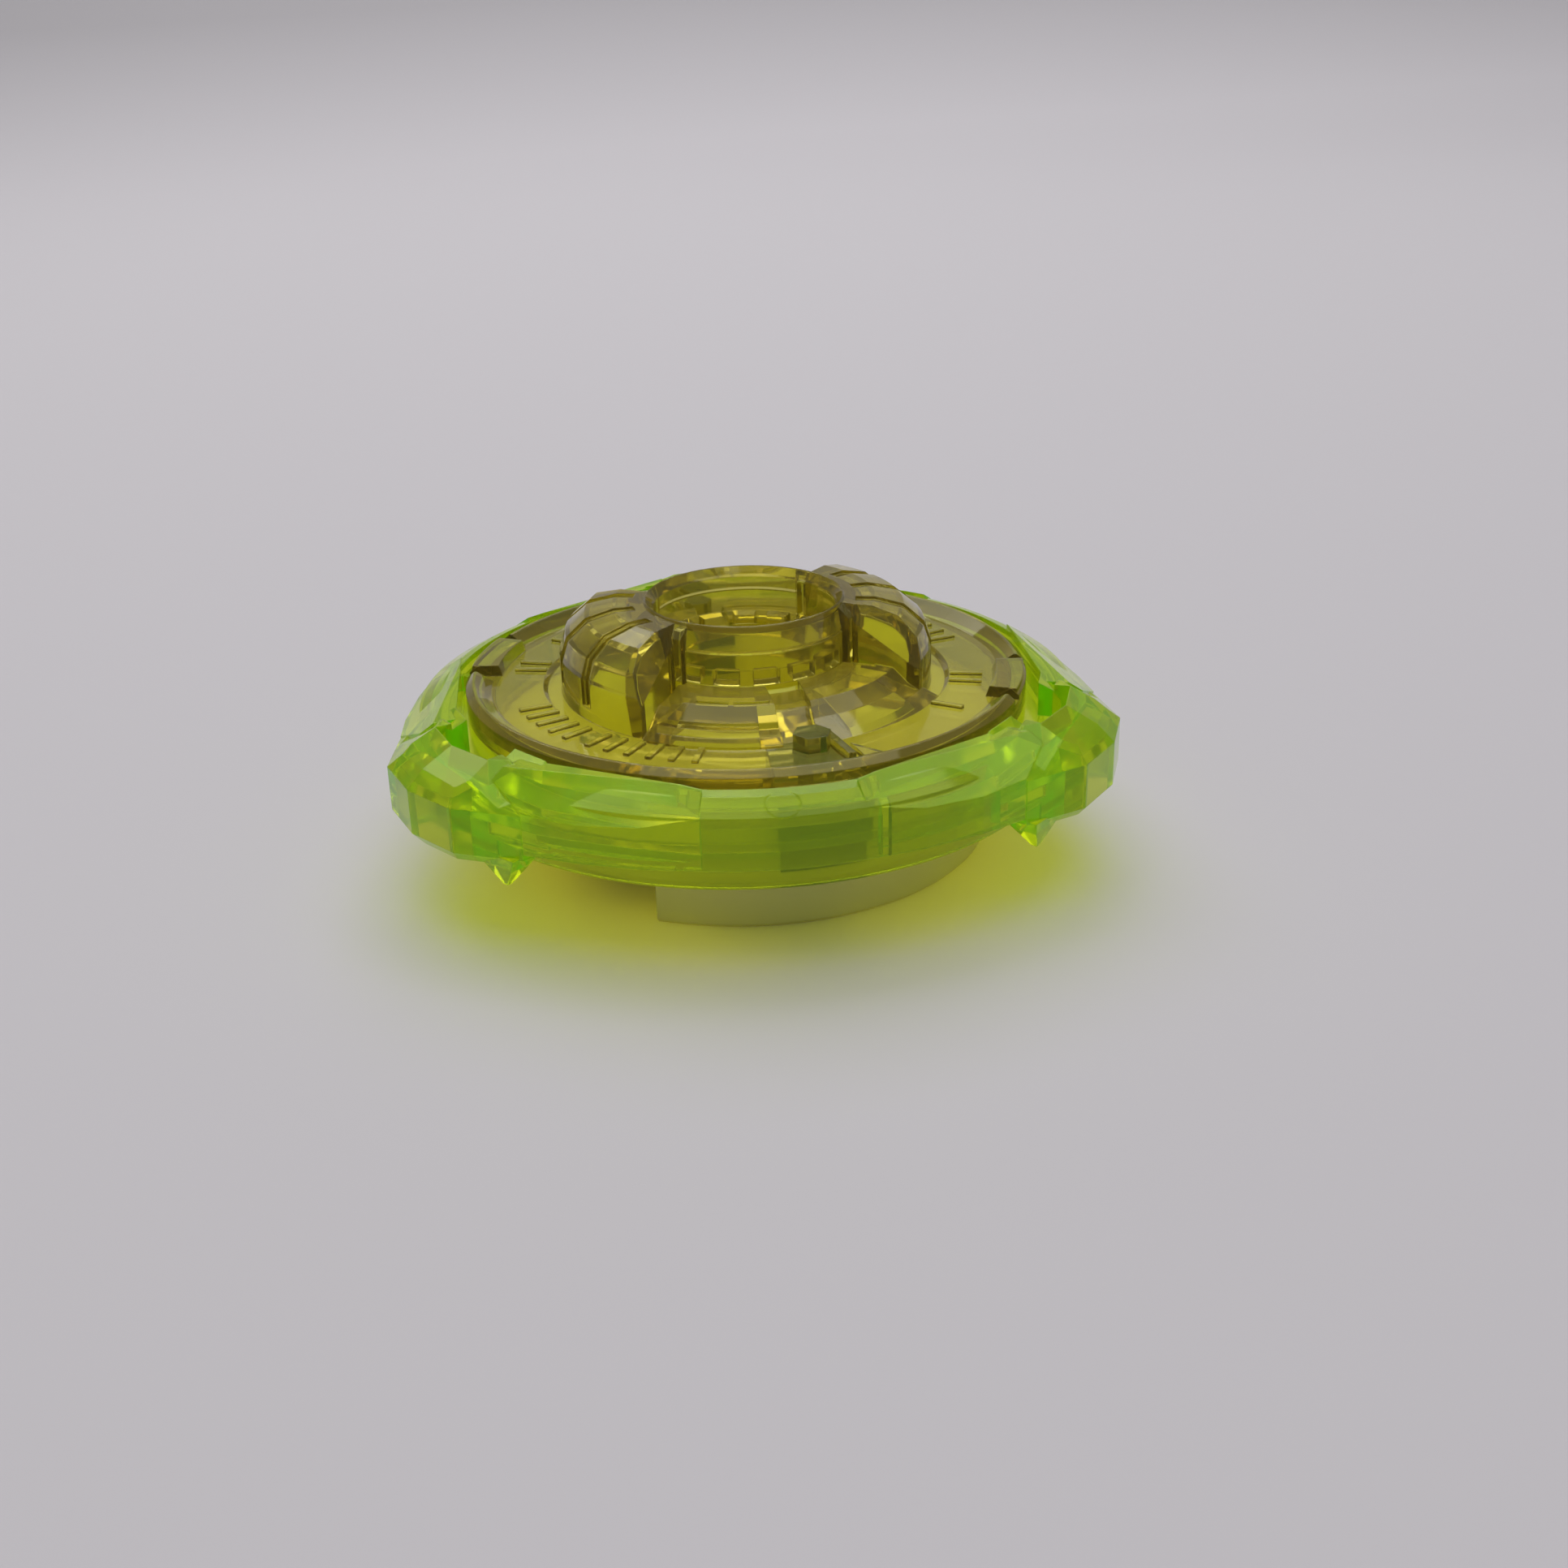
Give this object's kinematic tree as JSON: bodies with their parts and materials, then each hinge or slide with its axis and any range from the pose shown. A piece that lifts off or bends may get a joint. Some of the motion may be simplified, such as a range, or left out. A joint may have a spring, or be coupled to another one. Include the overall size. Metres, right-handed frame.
{
  "type": "light-up spinning top body",
  "caption": "Low round battling-top body, face down: clear smoky core with a launcher hub, a free-turning clear green crystal contact ring, and a light unit sealed in a milky base.",
  "frame": {"origin": "on the spin axis at the toothed ledge inside the launcher hub, 14.2 mm above the plane that the foot arcs stand on", "axes": "+Z along the spin axis, out of the launcher hub and away from the foot arcs; -Y is the side seen from the front"},
  "size_m": [0.0502, 0.0502, 0.0175],
  "materials": {
    "smoky_clear": "polished clear smoky olive",
    "smoky_dark": "polished clear dark smoky",
    "green_clear": "polished fluorescent clear yellow-green",
    "base_grey": "fine satin, milky and slightly see-through",
    "base_white": "satin",
    "lens_clear": "clear",
    "screw_steel": "zinc plated",
    "cell_steel": "satin nickel",
    "board_green": "solder mask",
    "black_epoxy": "moulded",
    "led_lens": "diffuse lens",
    "contact_brass": "gold flash",
    "spring_steel": "drawn wire"
  },
  "bodies": {
    "core": {"core_disc": "smoky_clear", "lock_clips": "smoky_dark", "base_housing": "base_grey", "housing_lid": "base_white", "light_windows": "lens_clear", "battery_door": "base_grey", "door_screws": "screw_steel", "case_screws": "screw_steel", "coin_cell": "cell_steel", "circuit_board": "board_green", "led_left": "led_lens", "led_right": "led_lens", "driver_chip": "black_epoxy", "resistor": "black_epoxy", "contact_positive": "contact_brass", "contact_negative": "contact_brass", "switch_guide": "contact_brass", "switch_contact": "contact_brass", "switch_spring": "spring_steel"},
    "ring": {"contact_ring": "green_clear"},
    "weight": {"switch_weight": "contact_brass"}
  },
  "joints": [
    {"name": "ring_spin", "type": "hinge", "parent": "core", "child": "ring", "pos_m": [0, 0, -0.0054], "axis": [0, 0, 1], "continuous": true},
    {"name": "switch_slide", "type": "slide", "parent": "core", "child": "weight", "axis": [0, -1, 0], "range_m": [0, 0.0008], "stiffness_N_per_m": 20, "deforming": ["switch_spring"]}
  ]
}
